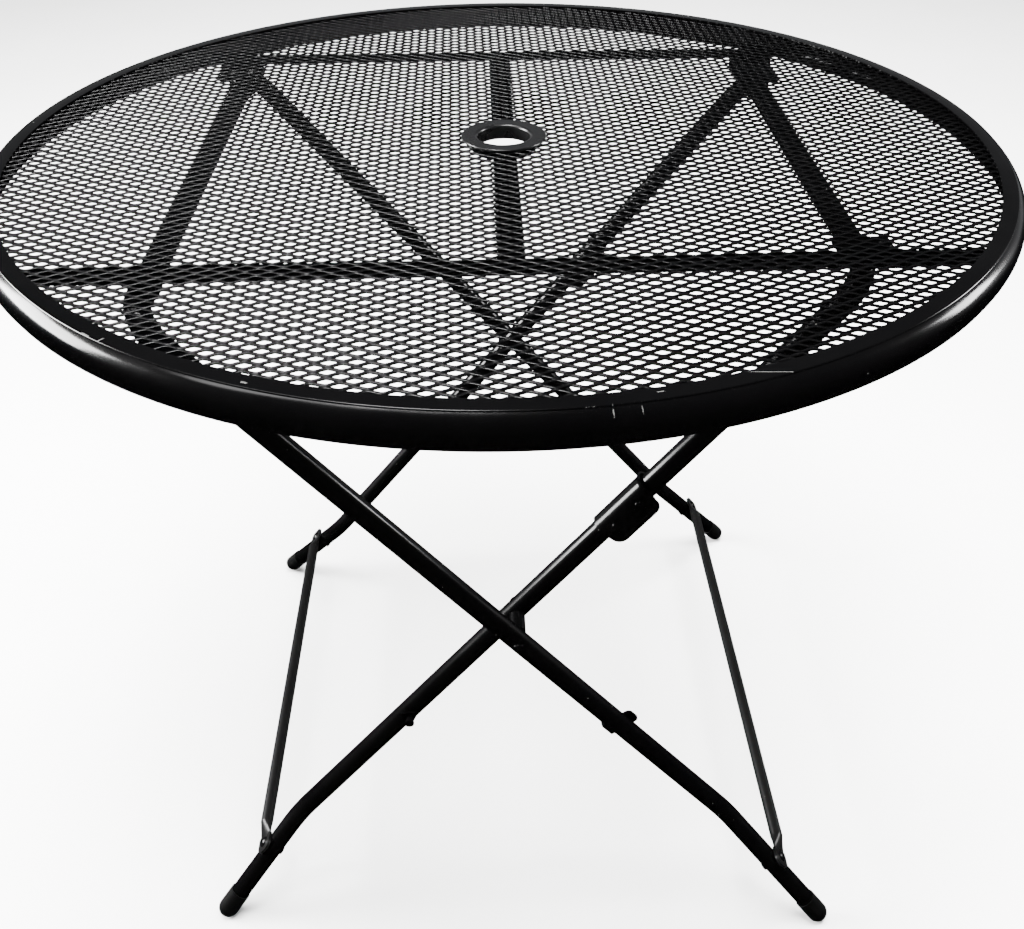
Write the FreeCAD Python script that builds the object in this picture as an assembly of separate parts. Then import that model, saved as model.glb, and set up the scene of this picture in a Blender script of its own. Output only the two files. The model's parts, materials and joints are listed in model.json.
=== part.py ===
import FreeCAD, Part
import math
import os

os.makedirs("parts", exist_ok=True)

V = FreeCAD.Vector

# Folding umbrella table in millimetres: x to the right, y away from the front, z up.
# The origin is on the floor under the middle of the round top.
# Driving sizes of the round top
top_height = 737.0
bulge_radius = 435.0
crease_inset = 7.8
ledge_width = 12.7
rim_height = 27.0
rim_sheet = 1.5
crease_round = 1.2
rim_belly_drop = 13.5
rim_hem_inset = 3.2
rim_hem_round = 2.6
rim_hem_return = 6.5
mesh_thickness = 2.5
mesh_tuck = 9.0

# The mesh panel's plain grid, which is as open as the real mesh
mesh_grid_across = 12
mesh_open_share = 0.58
mesh_grid_margin = 3.0
mesh_smallest_opening = 200.0

# Flat bars under the mesh, all of one section
rail_inset = 25.0
rail_width = 20.5
rail_thickness = 3.0
rail_end_gap = 0.5

# Umbrella ring and the steel collar that holds it
umbrella_bore = 46.0
ring_wall = 3.2
ring_flange_width = 14.0
ring_flange_height = 2.2
ring_flange_edge = 1.0
ring_mouth_round = 2.8
ring_throat_length = 10.5
collar_gap = 0.3
collar_wall = 2.0
collar_length = 8.0

# Tube frames
tube_od = 19.0
tube_wall = 1.2
corner_radius = 30.0
splay_radius = 120.0
hinge_half_span = 265.0
foot_reach = 306.0
outer_half_width = 265.0
outer_bend_at = 324.0
outer_splay = 38.0
leg_gap = 20.0
inner_bend_at = 358.0
inner_splay = 41.0

# Foot caps
cap_wall = 0.95
cap_length = 22.0
cap_bore_gap = 0.05

# Hinge straps that carry the two top bars
plate_sheet = 2.0
plate_margin = 1.0
plate_overhang = 7.0
plate_rail_margin = 2.0
plate_drop = 8.0
plate_bend = 2.5
plate_web_inset = 1.0
strap_sheet = 2.0
strap_width = 10.0
strap_gap = 0.1
strap_bend = 2.0
strap_ear = 10.4
outer_strap_margin = 14.0
inner_strap_margin = 0.5
rail_rivet_spacing = 18.3
small_rivet_radius = 2.2
small_head_radius = 3.6
small_head_height = 1.5

# Locking knuckles in the legs of the inner frame
knuckle_rivet_at = 131.4
knuckle_rivet_spacing = 28.7
knuckle_rivet_drop = 2.0
knuckle_rivet_radius = 4.0
knuckle_head_radius = 6.5
knuckle_head_height = 3.2
knuckle_sheet = 1.5
knuckle_side_gap = 0.5
knuckle_web_gap = 0.5
knuckle_bend = 5.0
knuckle_overhang = 12.6
knuckle_depth = 17.8
knuckle_corner = 9.0
knuckle_lip_length = 4.0
knuckle_lip_angle = 22.0
pin_fit = 0.05
mitre_short = 3.0
mitre_long = 9.0

# Crossing pivots
pivot_bolt_radius = 4.0
pivot_hole_gap = 0.1
pivot_head_radius = 8.0
pivot_head_height = 4.5
pivot_spacer_radius = 7.0
pivot_spacer_gap = 0.3
pivot_nut_flats = 13.0
pivot_nut_height = 6.0
pivot_washer_radius = 8.0
pivot_washer_height = 1.2
pivot_tail = 2.0

# Stretchers between the lower legs
stretcher_at = 403.0
stretcher_od = 12.7
stretcher_wall = 1.2
stretcher_rise = 3.0
paddle_width = 20.0
paddle_thickness = 2.8
paddle_reach = 11.0
paddle_length = 27.0
stretcher_taper = 17.0
stretcher_rivet_radius = 3.0
stretcher_head_radius = 5.5
stretcher_head_height = 2.6
stretcher_back_height = 1.4

# Storage catch between the front legs
catch_hook_at = 156.0
catch_stud_at = 163.0
catch_sheet = 2.0
catch_hook_width = 16.0
catch_hook_above = 12.0
catch_hook_below = 21.0
catch_lip_reach = 7.0
catch_tab_width = 17.0
catch_tab_height = 13.0
catch_tab_corner = 3.0
catch_stud_radius = 3.0
catch_clearance = 1.5
catch_stud_head_radius = 4.5
catch_stud_head_height = 1.8
catch_rivet_radius = 2.5
catch_head_radius = 5.0
catch_head_height = 2.0

# Widths of the leg frames, and what hangs from them
tube_radius = tube_od / 2
crease_radius = bulge_radius - crease_inset
inner_half_width = outer_half_width - tube_od - leg_gap
outer_foot_y = outer_half_width + outer_splay
inner_foot_y = inner_half_width + inner_splay
rail_y = outer_half_width - rail_inset
outer_strap_y = outer_half_width - corner_radius - strap_width / 2 - outer_strap_margin
inner_strap_y = inner_half_width - corner_radius - strap_width / 2 - inner_strap_margin
strap_arm = tube_radius + strap_gap + strap_sheet / 2
plate_half_length = strap_arm + strap_ear + plate_margin
cap_radius = tube_radius + cap_bore_gap + cap_wall
catch_stud_length = leg_gap - 2 * catch_sheet - catch_lip_reach - catch_clearance

# Heights down the stack from the top, each seated on the one above
mesh_top = top_height - rim_sheet
mesh_bottom = mesh_top - mesh_thickness
rail_bottom = mesh_bottom - rail_thickness
plate_bottom = rail_bottom - plate_drop - plate_sheet
bar_z = plate_bottom - strap_gap - tube_radius
rim_bottom = top_height - rim_height

# Leg lines: both frames cross over the middle of the table
leg_angle = math.atan2(bar_z - cap_radius, hinge_half_span + foot_reach)
bar_from_crossing = hinge_half_span / math.cos(leg_angle)
foot_from_crossing = foot_reach / math.cos(leg_angle)
crossing_z = bar_z - hinge_half_span * math.tan(leg_angle)

# Umbrella ring and collar radii
bore_radius = umbrella_bore / 2
throat_radius = bore_radius + ring_wall
ring_flange_radius = bore_radius + ring_flange_width
collar_inner = throat_radius + collar_gap
collar_outer = collar_inner + collar_wall


# Geometry helpers

def rounded_wire(corners, radii, closed=False):
    """Join straight runs by tangent arcs; one radius for each corner that turns."""
    count = len(corners)
    turning = range(count) if closed else range(1, count - 1)
    entries, leaves, middles = {}, {}, {}
    for index in turning:
        here = corners[index]
        back = (corners[index - 1] - here).normalize()
        ahead = (corners[(index + 1) % count] - here).normalize()
        half = back.getAngle(ahead) / 2
        radius = radii[index]
        reach = radius / math.tan(half)
        entries[index] = here + back * reach
        leaves[index] = here + ahead * reach
        bisector = (back + ahead).normalize()
        middles[index] = here + bisector * (radius / math.sin(half) - radius)
    edges = []
    last = count if closed else count - 1
    for index in range(last):
        following = (index + 1) % count
        if index in entries:
            if radii[index] > 0:
                edges.append(Part.Arc(entries[index], middles[index], leaves[index]).toShape())
            start = leaves[index]
        else:
            start = corners[index]
        finish = entries.get(following, corners[following])
        if start.distanceToPoint(finish) > 1e-6:
            edges.append(Part.makeLine(start, finish))
    return Part.Wire(edges)


def bent_sheet(corners, bends, thickness, run):
    """A folded sheet: the middle line of its section, its bends and the way it runs."""
    half = thickness / 2
    normal = V(run).normalize()
    count = len(corners)
    sides = {}
    for side in (1, -1):
        points, radii = [], []
        for index in range(count):
            before = corners[max(index - 1, 0)]
            after = corners[min(index + 1, count - 1)]
            here = corners[index]
            incoming = (here - before if index > 0 else after - here).normalize()
            outgoing = (after - here if index < count - 1 else here - before).normalize()
            across = (normal.cross(incoming) + normal.cross(outgoing)).normalize()
            stretch = half / across.dot(normal.cross(incoming))
            turn = incoming.cross(outgoing).dot(normal)
            points.append(here + across * (side * stretch))
            radii.append(max(bends[index] - side * half * (1 if turn > 0 else -1), 0.0))
        sides[side] = rounded_wire(points, radii)
    first, second = sides[1], sides[-1]
    ends = [Part.makeLine(first.OrderedVertexes[0].Point, second.OrderedVertexes[0].Point),
            Part.makeLine(first.OrderedVertexes[-1].Point, second.OrderedVertexes[-1].Point)]
    outline = Part.Wire(Part.__sortEdges__(first.Edges + second.Edges + ends))
    return Part.Face(outline).extrude(run)


def bent_tube(corners, radii, wall=tube_wall, outside=tube_radius):
    """A round tube along straight runs joined by tangent arcs."""
    path = rounded_wire(corners, radii)
    start = corners[0]
    heading = corners[1] - corners[0]
    skins = []
    for radius in (outside, outside - wall):
        ring = Part.Wire(Part.makeCircle(radius, start, heading))
        skins.append(path.makePipeShell([ring], True, False))
    return skins[0].cut(skins[1])


def prism(corners, radii, run):
    """A closed outline with rounded corners, extruded."""
    return Part.Face(rounded_wire(corners, radii, closed=True)).extrude(run)


def cylinder(radius, start, end):
    return Part.makeCylinder(radius, start.distanceToPoint(end), start, end - start)


def dome(radius, height, seat, heading):
    """A low domed head that stands on its seat."""
    ball = (radius * radius + height * height) / (2 * height)
    upright = V(heading).normalize()
    sphere = Part.makeSphere(ball, seat + upright * (height - ball))
    return sphere.common(cylinder(radius, seat, seat + upright * (2 * height)))


def rivet(radius, head_radius, heights, start, end):
    """A rivet whose shank runs between two seats, with domed heads; no height is a flush end."""
    solid = cylinder(radius, start, end)
    axis = end - start
    for height, seat, heading in ((heights[0], start, axis * -1), (heights[1], end, axis)):
        if height > 0:
            solid = solid.fuse(dome(head_radius, height, seat, heading))
    return solid.removeSplitter()


def revolve_section(edges):
    """Turn a closed section in the xz plane round the vertical axis."""
    face = Part.Face(Part.Wire(Part.__sortEdges__(edges)))
    return face.revolve(V(0, 0, 0), V(0, 0, 1), 360)


# Leg frames are built flat: x down the leg from the crossing, y across, z out of the
# outer face. Then they are set at the leg angle, and the inner one faces the other way.

def place_outer(shape):
    placed = shape.copy()
    placed.rotate(V(0, 0, 0), V(0, 1, 0), math.degrees(leg_angle))
    placed.translate(V(0, 0, crossing_z))
    return placed


def place_inner(shape):
    placed = place_outer(shape)
    placed.rotate(V(0, 0, 0), V(0, 0, 1), 180)
    return placed


def group(shapes):
    return shapes[0] if len(shapes) == 1 else Part.makeCompound(shapes)


nodes = {}


# Round top

def rim():
    """One rolled sheet ring: a flat ledge, a crease, a convex band and a hem turned in."""
    ledge_inner = crease_radius - ledge_width
    hem_z = rim_bottom + rim_hem_round
    hem_radius = bulge_radius - rim_hem_inset
    belly = V(bulge_radius, 0, top_height - rim_belly_drop)
    band_top = V(crease_radius, 0, top_height - crease_round)
    band_end = V(hem_radius, 0, hem_z)
    band = Part.Arc(band_top, belly, band_end).toShape()
    centre, radius = band.Curve.Center, band.Curve.Radius

    def inner_at(point):
        return centre + (point - centre) * ((radius - rim_sheet) / radius)

    under_z = top_height - rim_sheet
    reach = math.sqrt((radius - rim_sheet) ** 2 - (under_z - centre.z) ** 2)
    inner_top = V(centre.x + reach, 0, under_z)
    inner_end = inner_at(band_end)
    hem_in = hem_radius - rim_hem_return
    corner = math.sqrt(0.5)
    round_middle = V(crease_radius - crease_round * (1 - corner), 0,
                     top_height - crease_round * (1 - corner))
    hem_turn = V(hem_radius - rim_hem_round, 0, rim_bottom)
    hem_middle = V(hem_radius - rim_hem_round * (1 - corner), 0,
                   hem_z - rim_hem_round * corner)
    inner_turn = V(inner_end.x - (rim_hem_round - rim_sheet), 0, rim_bottom + rim_sheet)
    edges = [
        Part.makeLine(V(ledge_inner, 0, top_height), V(crease_radius - crease_round, 0, top_height)),
        Part.Arc(V(crease_radius - crease_round, 0, top_height), round_middle, band_top).toShape(),
        band,
        Part.Arc(band_end, hem_middle, hem_turn).toShape(),
        Part.makeLine(hem_turn, V(hem_in, 0, rim_bottom)),
        Part.makeLine(V(hem_in, 0, rim_bottom), V(hem_in, 0, rim_bottom + rim_sheet)),
        Part.makeLine(V(hem_in, 0, rim_bottom + rim_sheet), inner_turn),
        Part.makeLine(inner_turn, inner_end),
        Part.Arc(inner_end, inner_at(belly), inner_top).toShape(),
        Part.makeLine(inner_top, V(ledge_inner, 0, under_z)),
        Part.makeLine(V(ledge_inner, 0, under_z), V(ledge_inner, 0, top_height)),
    ]
    return revolve_section(edges), reach + centre.x


nodes["rim"], mesh_reach = rim()

mesh_radius = crease_radius - ledge_width + mesh_tuck
panel = cylinder(mesh_radius, V(0, 0, mesh_bottom), V(0, 0, mesh_top))
panel = panel.cut(cylinder(collar_inner, V(0, 0, mesh_bottom), V(0, 0, mesh_top)))


def mesh_openings():
    """Square openings in rows, trimmed by the rim's ledge and by the umbrella ring."""
    pitch = 2 * mesh_radius / (mesh_grid_across + 0.5)
    side = pitch * math.sqrt(mesh_open_share)
    outer = crease_radius - ledge_width - mesh_grid_margin
    inner = ring_flange_radius + mesh_grid_margin
    low, high = V(0, 0, mesh_bottom), V(0, 0, mesh_top)
    field = cylinder(outer, low, high).cut(cylinder(inner, low, high))
    holes = []
    for column in range(mesh_grid_across):
        for row in range(mesh_grid_across):
            x = (column - (mesh_grid_across - 1) / 2) * pitch
            y = (row - (mesh_grid_across - 1) / 2) * pitch
            if math.hypot(x, y) > outer + side:
                continue
            square = Part.makeBox(side, side, mesh_thickness, V(x - side / 2, y - side / 2, mesh_bottom))
            for hole in square.common(field).Solids:
                if hole.Volume > mesh_smallest_opening * mesh_thickness:
                    holes.append(hole)
    return holes


nodes["mesh_panel"] = panel.cut(Part.makeCompound(mesh_openings()))


# Rails

def flat_bar(start, end):
    """A flat bar from start to end; both points lie on the middle of its underside."""
    run = end - start
    side = V(0, 0, 1).cross(run).normalize() * (rail_width / 2)
    corners = [start + side, start - side, end - side, end + side]
    return prism(corners, [0] * 4, V(0, 0, rail_thickness))


rail_trim = cylinder(mesh_reach - rail_end_gap, V(0, 0, 0), V(0, 0, top_height))
for name, rail_side in (("front_rail", -1), ("rear_rail", 1)):
    ends = [V(sign * bulge_radius, rail_side * rail_y, rail_bottom) for sign in (-1, 1)]
    nodes[name] = flat_bar(ends[0], ends[1]).common(rail_trim)

collar_cut = cylinder(collar_outer, V(0, 0, 0), V(0, 0, top_height))
for name, rail_side in (("front_centre_rail", -1), ("rear_centre_rail", 1)):
    near = V(0, 0, rail_bottom)
    far = V(0, rail_side * (rail_y - rail_width / 2), rail_bottom)
    nodes[name] = flat_bar(near, far).cut(collar_cut)


# Umbrella ring and collar

collar_ends = V(0, 0, mesh_bottom - collar_length), V(0, 0, mesh_bottom)
collar = cylinder(collar_outer, *collar_ends)
nodes["umbrella_collar"] = collar.cut(cylinder(collar_inner, *collar_ends))


def umbrella_ring():
    """A flat flange with a round mouth that runs down into a short throat."""
    throat_bottom = mesh_top - ring_throat_length
    flange_top = mesh_top + ring_flange_height
    corners = [
        V(bore_radius, 0, throat_bottom),
        V(throat_radius, 0, throat_bottom),
        V(throat_radius, 0, mesh_top),
        V(ring_flange_radius, 0, mesh_top),
        V(ring_flange_radius, 0, flange_top),
        V(bore_radius, 0, flange_top),
    ]
    outline = rounded_wire(corners, (0, 0, 0, 0, ring_flange_edge, ring_mouth_round), closed=True)
    return revolve_section(outline.Edges)


nodes["umbrella_ring"] = umbrella_ring()


# Hinge plates, straps and rivets under the rails

def hinge(bar_x, side, strap_y):
    """Stepped plate riveted under the rail, strap round the top bar, and their rivets."""
    plate_near = strap_y - plate_overhang
    plate_far = rail_y + rail_width / 2 - plate_rail_margin
    plate_floor = plate_bottom + plate_sheet / 2
    plate_seat = rail_bottom - plate_sheet / 2
    web = rail_y - rail_width / 2 + plate_web_inset
    start_x = bar_x - plate_half_length
    section = [V(start_x, side * plate_near, plate_floor), V(start_x, side * web, plate_floor),
               V(start_x, side * web, plate_seat), V(start_x, side * plate_far, plate_seat)]
    plate = bent_sheet(section, (0, plate_bend, plate_bend, 0), plate_sheet,
                       V(2 * plate_half_length, 0, 0))

    ear_end = strap_arm + strap_ear
    ear_z = plate_bottom - strap_sheet / 2
    start_y = side * strap_y - strap_width / 2
    offsets = ((-ear_end, ear_z), (-strap_arm, ear_z), (-strap_arm, bar_z - strap_arm),
               (strap_arm, bar_z - strap_arm), (strap_arm, ear_z), (ear_end, ear_z))
    section = [V(bar_x + dx, start_y, z) for dx, z in offsets]
    bends = (0, strap_bend, strap_arm, strap_arm, strap_bend, 0)
    strap = bent_sheet(section, bends, strap_sheet, V(0, strap_width, 0))

    rivets = []
    ear_middle = (ear_end + strap_arm + strap_sheet / 2) / 2
    for way in (-1, 1):
        x = bar_x + way * ear_middle
        low = V(x, side * strap_y, plate_bottom - strap_sheet)
        high = V(x, side * strap_y, plate_bottom + plate_sheet)
        rivets.append(rivet(small_rivet_radius, small_head_radius, [small_head_height] * 2, low, high))
        x = bar_x + way * rail_rivet_spacing / 2
        low = V(x, side * rail_y, rail_bottom - plate_sheet)
        high = V(x, side * rail_y, mesh_bottom)
        rivets.append(rivet(small_rivet_radius, small_head_radius, (small_head_height, 0), low, high))
    for pin in rivets:
        middle = pin.BoundBox.Center
        hole = cylinder(small_rivet_radius, V(middle.x, middle.y, plate_bottom - plate_sheet),
                        V(middle.x, middle.y, mesh_bottom))
        plate = plate.cut(hole)
        strap = strap.cut(hole)
        rail = "front_rail" if side < 0 else "rear_rail"
        nodes[rail] = nodes[rail].cut(hole)
    return plate, strap, rivets


hinge_rivets = []
for bar_side, bar_x, strap_y in (("left", -hinge_half_span, outer_strap_y),
                                 ("right", hinge_half_span, inner_strap_y)):
    for place, side in (("front", -1), ("rear", 1)):
        plate, strap, rivets = hinge(bar_x, side, strap_y)
        nodes[bar_side + "_" + place + "_hinge_plate"] = plate
        nodes[bar_side + "_" + place + "_hinge_strap"] = strap
        hinge_rivets.extend(rivets)
nodes["hinge_rivets"] = group(hinge_rivets)


# Tube frames, laid flat

def leg_y(half_width, bend_at, foot_y, station):
    """How far the leg stands from the middle at a place down its length."""
    if station <= bend_at:
        return half_width
    return half_width + (station - bend_at) * (foot_y - half_width) / (foot_from_crossing - bend_at)


def pivot_hole():
    reach = outer_half_width + tube_od
    radius = pivot_bolt_radius + pivot_hole_gap
    return cylinder(radius, V(0, -reach, 0), V(0, reach, 0))


def u_frame():
    """Outer frame: one tube bent at the top bar and splayed towards the feet."""
    corners = [V(foot_from_crossing, -outer_foot_y, 0), V(outer_bend_at, -outer_half_width, 0),
               V(-bar_from_crossing, -outer_half_width, 0), V(-bar_from_crossing, outer_half_width, 0),
               V(outer_bend_at, outer_half_width, 0), V(foot_from_crossing, outer_foot_y, 0)]
    radii = (0, splay_radius, corner_radius, corner_radius, splay_radius, 0)
    return bent_tube(corners, radii).cut(pivot_hole())


upper_rivet_x = -(knuckle_rivet_at + knuckle_rivet_spacing)
lower_rivet_x = -knuckle_rivet_at
knuckle_hole = knuckle_rivet_radius + pin_fit


def mitre(rivet_x, way):
    """What is cut off a leg's end so that it clears the knuckle's web as it turns."""
    tall = 2 * tube_radius
    slope = (mitre_long - mitre_short) / tube_od
    far = rivet_x + way * 4 * tube_od
    edge = [rivet_x + way * (mitre_short + slope * (tube_radius - z)) for z in (tall, -tall)]
    corners = [V(edge[0], 0, tall), V(edge[1], 0, -tall), V(far, 0, -tall), V(far, 0, tall)]
    face = Part.Face(Part.makePolygon(corners + corners[:1]))
    face.translate(V(0, -inner_foot_y, 0))
    return face.extrude(V(0, 2 * inner_foot_y, 0))


def knuckle_pin_hole(rivet_x):
    reach = inner_half_width + tube_od
    return cylinder(knuckle_hole, V(rivet_x, -reach, -knuckle_rivet_drop),
                    V(rivet_x, reach, -knuckle_rivet_drop))


def upper_frame():
    """Upper half of the inner frame: top bar and two short legs down to the knuckles."""
    end = upper_rivet_x + mitre_long + tube_radius
    corners = [V(end, -inner_half_width, 0), V(-bar_from_crossing, -inner_half_width, 0),
               V(-bar_from_crossing, inner_half_width, 0), V(end, inner_half_width, 0)]
    tube = bent_tube(corners, (0, corner_radius, corner_radius, 0))
    return tube.cut(mitre(upper_rivet_x, 1)).cut(knuckle_pin_hole(upper_rivet_x))


def lower_leg(side):
    """Lower leg of the inner frame, from the knuckle past the crossing to the foot."""
    end = lower_rivet_x - mitre_long - tube_radius
    corners = [V(end, side * inner_half_width, 0), V(inner_bend_at, side * inner_half_width, 0),
               V(foot_from_crossing, side * inner_foot_y, 0)]
    tube = bent_tube(corners, (0, splay_radius, 0))
    return tube.cut(mitre(lower_rivet_x, -1)).cut(knuckle_pin_hole(lower_rivet_x)).cut(pivot_hole())


def foot_cap(side, half_width, bend_at, foot_y):
    """A cup pushed over the end of a leg, with a round sole."""
    foot = V(foot_from_crossing, side * foot_y, 0)
    knee = V(bend_at, side * half_width, 0)
    up = (knee - foot).normalize()
    cup = Part.makeSphere(cap_radius, foot).fuse(cylinder(cap_radius, foot, foot + up * cap_length))
    bore = cylinder(tube_radius + cap_bore_gap, foot, foot + up * (2 * cap_length))
    return cup.cut(bore).removeSplitter()


def stretcher(reach):
    """A cross tube whose pressed-flat ends lie on the outer faces of the legs."""
    radius = stretcher_od / 2
    paddle_z = tube_radius + paddle_thickness / 2
    tube_z = tube_radius + stretcher_rise
    round_end = reach - paddle_length + paddle_reach - stretcher_taper + paddle_width / 2
    flat_start = round_end + stretcher_taper
    body = cylinder(radius, V(stretcher_at, -round_end, tube_z), V(stretcher_at, round_end, tube_z))
    for side in (-1, 1):
        circle = Part.Wire(Part.makeCircle(radius, V(stretcher_at, side * round_end, tube_z),
                                           V(0, 1, 0)))
        oval = Part.Ellipse(V(stretcher_at + paddle_width / 2, side * flat_start, paddle_z),
                            V(stretcher_at, side * flat_start, paddle_z + paddle_thickness / 2),
                            V(stretcher_at, side * flat_start, paddle_z))
        flattened = Part.Wire(oval.toShape())
        body = body.fuse(Part.makeLoft([circle, flattened], True))
        tip = reach + paddle_reach
        low = V(0, 0, paddle_z - paddle_thickness / 2)
        half = paddle_width / 2
        inner = flat_start - 2
        corners = [V(stretcher_at - half, side * inner, 0) + low,
                   V(stretcher_at + half, side * inner, 0) + low,
                   V(stretcher_at + half, side * tip, 0) + low,
                   V(stretcher_at - half, side * tip, 0) + low]
        body = body.fuse(prism(corners, (2, 2, half * 0.8, half * 0.8), V(0, 0, paddle_thickness)))
    hollow = cylinder(radius - stretcher_wall, V(stretcher_at, -round_end, tube_z),
                      V(stretcher_at, round_end, tube_z))
    return body.cut(hollow).removeSplitter()


def stretcher_rivets(reach):
    low = -tube_radius
    high = tube_radius + paddle_thickness
    heights = (stretcher_back_height, stretcher_head_height)
    return [rivet(stretcher_rivet_radius, stretcher_head_radius, heights,
                  V(stretcher_at, side * reach, low), V(stretcher_at, side * reach, high))
            for side in (-1, 1)]


def drilled(shape, pins, radius, gap=0.0):
    """Holes for the shanks of upright rivets."""
    for pin in pins:
        middle = pin.BoundBox.Center
        low = V(middle.x, middle.y, pin.BoundBox.ZMin)
        high = V(middle.x, middle.y, pin.BoundBox.ZMax)
        shape = shape.cut(cylinder(radius + gap, low, high))
    return shape


# Outer frame
outer_reach = leg_y(outer_half_width, outer_bend_at, outer_foot_y, stretcher_at)
outer_pins = stretcher_rivets(outer_reach)
outer_tube = drilled(u_frame(), outer_pins, stretcher_rivet_radius)
outer_bar = drilled(stretcher(outer_reach), outer_pins, stretcher_rivet_radius)
nodes["outer_stretcher"] = place_outer(outer_bar)
nodes["outer_stretcher_rivets"] = place_outer(group(outer_pins))
for place, side in (("front", -1), ("rear", 1)):
    cap = foot_cap(side, outer_half_width, outer_bend_at, outer_foot_y)
    nodes["outer_" + place + "_foot_cap"] = place_outer(cap)

# Inner frame, whose front leg lies on the +y side before it is turned round
inner_reach = leg_y(inner_half_width, inner_bend_at, inner_foot_y, stretcher_at)
inner_pins = stretcher_rivets(inner_reach)
inner_bar = drilled(stretcher(inner_reach), inner_pins, stretcher_rivet_radius)
nodes["inner_upper_frame"] = place_inner(upper_frame())
nodes["inner_stretcher"] = place_inner(inner_bar)
nodes["inner_stretcher_rivets"] = place_inner(group(inner_pins))
inner_legs = {}
for place, side in (("front", 1), ("rear", -1)):
    inner_legs[place] = drilled(lower_leg(side), inner_pins, stretcher_rivet_radius)
    cap = foot_cap(side, inner_half_width, inner_bend_at, inner_foot_y)
    nodes["inner_" + place + "_foot_cap"] = place_inner(cap)


# Locking knuckles: a channel over each joint of the inner legs, on two rivets

def knuckle(side):
    inside = tube_radius + knuckle_side_gap
    web = tube_radius + knuckle_web_gap + knuckle_sheet / 2
    cheek = inside + knuckle_sheet / 2
    start = upper_rivet_x - knuckle_overhang
    length = knuckle_rivet_spacing + 2 * knuckle_overhang
    middle = side * inner_half_width
    bend = knuckle_bend + knuckle_sheet / 2
    section = [V(start, middle - cheek, -knuckle_depth), V(start, middle - cheek, web),
               V(start, middle + cheek, web), V(start, middle + cheek, -knuckle_depth)]
    sheet = bent_sheet(section, (0, bend, bend, 0), knuckle_sheet, V(length, 0, 0))
    top = web + knuckle_sheet
    span = inside + knuckle_sheet
    corners = [V(start, middle - span, top), V(start + length, middle - span, top),
               V(start + length, middle - span, -knuckle_depth),
               V(start, middle - span, -knuckle_depth)]
    outline = prism(corners, (0, 0, knuckle_corner, knuckle_corner), V(0, 2 * span, 0))
    sheet = sheet.common(outline)
    flare = math.radians(knuckle_lip_angle)
    lip_half = inside - knuckle_bend
    lip = [V(start, middle - lip_half, web),
           V(start - knuckle_lip_length * math.cos(flare), middle - lip_half,
             web + knuckle_lip_length * math.sin(flare))]
    sheet = sheet.fuse(bent_sheet(lip, (0, 0), knuckle_sheet, V(0, 2 * lip_half, 0)))
    pins = []
    for rivet_x in (upper_rivet_x, lower_rivet_x):
        low = V(rivet_x, middle - span, -knuckle_rivet_drop)
        high = V(rivet_x, middle + span, -knuckle_rivet_drop)
        pins.append(rivet(knuckle_rivet_radius, knuckle_head_radius, [knuckle_head_height] * 2, low, high))
        sheet = sheet.cut(cylinder(knuckle_rivet_radius, low, high))
    return sheet.removeSplitter(), pins


for place, side in (("front", 1), ("rear", -1)):
    sheet, pins = knuckle(side)
    nodes[place + "_knuckle"] = place_inner(sheet)
    nodes[place + "_knuckle_rivets"] = place_inner(group(pins))


# Crossing pivots: bolt and spacer stay with the outer frame, nut with the inner one

def pivot_bolt(side):
    outer_face = outer_half_width + tube_radius
    tip = inner_half_width + tube_radius + pivot_spacer_gap
    shank = cylinder(pivot_bolt_radius, V(0, side * tip, 0), V(0, side * outer_face, 0))
    seat = V(0, side * outer_face, 0)
    return shank.fuse(dome(pivot_head_radius, pivot_head_height, seat, V(0, side, 0))).removeSplitter()


def pivot_spacer(side):
    start = V(0, side * (inner_half_width + tube_radius + pivot_spacer_gap), 0)
    end = V(0, side * (outer_half_width - tube_radius), 0)
    sleeve = cylinder(pivot_spacer_radius, start, end)
    return sleeve.cut(cylinder(pivot_bolt_radius + pivot_hole_gap, start, end))


def pivot_nut(side):
    """Nut, washer and the end of the bolt that runs through the inner leg."""
    outer_face = V(0, side * (inner_half_width + tube_radius), 0)
    inner_face = V(0, side * (inner_half_width - tube_radius), 0)
    inward = V(0, -side, 0)
    washer_end = inner_face + inward * pivot_washer_height
    corner_radius_nut = pivot_nut_flats / 2 / math.cos(math.pi / 6)
    ring = [V(corner_radius_nut * math.cos(math.radians(60 * k)), 0,
              corner_radius_nut * math.sin(math.radians(60 * k))) for k in range(7)]
    nut = Part.Face(Part.makePolygon([washer_end + point for point in ring]))
    nut = nut.extrude(inward * pivot_nut_height)
    tail = washer_end + inward * (pivot_nut_height + pivot_tail)
    solid = cylinder(pivot_bolt_radius, outer_face, tail)
    solid = solid.fuse(cylinder(pivot_washer_radius, inner_face, washer_end)).fuse(nut)
    return solid.removeSplitter()


nodes["pivot_bolts"] = place_outer(group([pivot_bolt(side) for side in (-1, 1)]))
for place, side in (("front", -1), ("rear", 1)):
    nodes[place + "_pivot_spacer"] = place_outer(pivot_spacer(side))
    nodes[place + "_pivot_nut"] = place_inner(pivot_nut(-side))


# Storage catch: a hook inside the front outer leg and a stud on the front inner leg

def catch_hook():
    face = -(outer_half_width - tube_radius)
    half = catch_hook_width / 2
    x = catch_hook_at
    corners = [V(x - half, face, catch_hook_above), V(x + half, face, catch_hook_above),
               V(x + half, face, -catch_hook_below), V(x - half, face, -catch_hook_below)]
    plate = prism(corners, (5, 5, 1, 1), V(0, catch_sheet, 0))
    lip_start = V(x - half, face + catch_sheet, -catch_hook_below)
    lip = Part.makeBox(catch_hook_width, catch_lip_reach, catch_sheet, lip_start)
    pin = rivet(catch_rivet_radius, catch_head_radius, [catch_head_height] * 2,
                V(x, -(outer_half_width + tube_radius), 0), V(x, face + catch_sheet, 0))
    hole = cylinder(catch_rivet_radius, V(x, -2 * outer_half_width, 0), V(x, 0, 0))
    return plate.fuse(lip).removeSplitter().cut(hole), pin, hole


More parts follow.
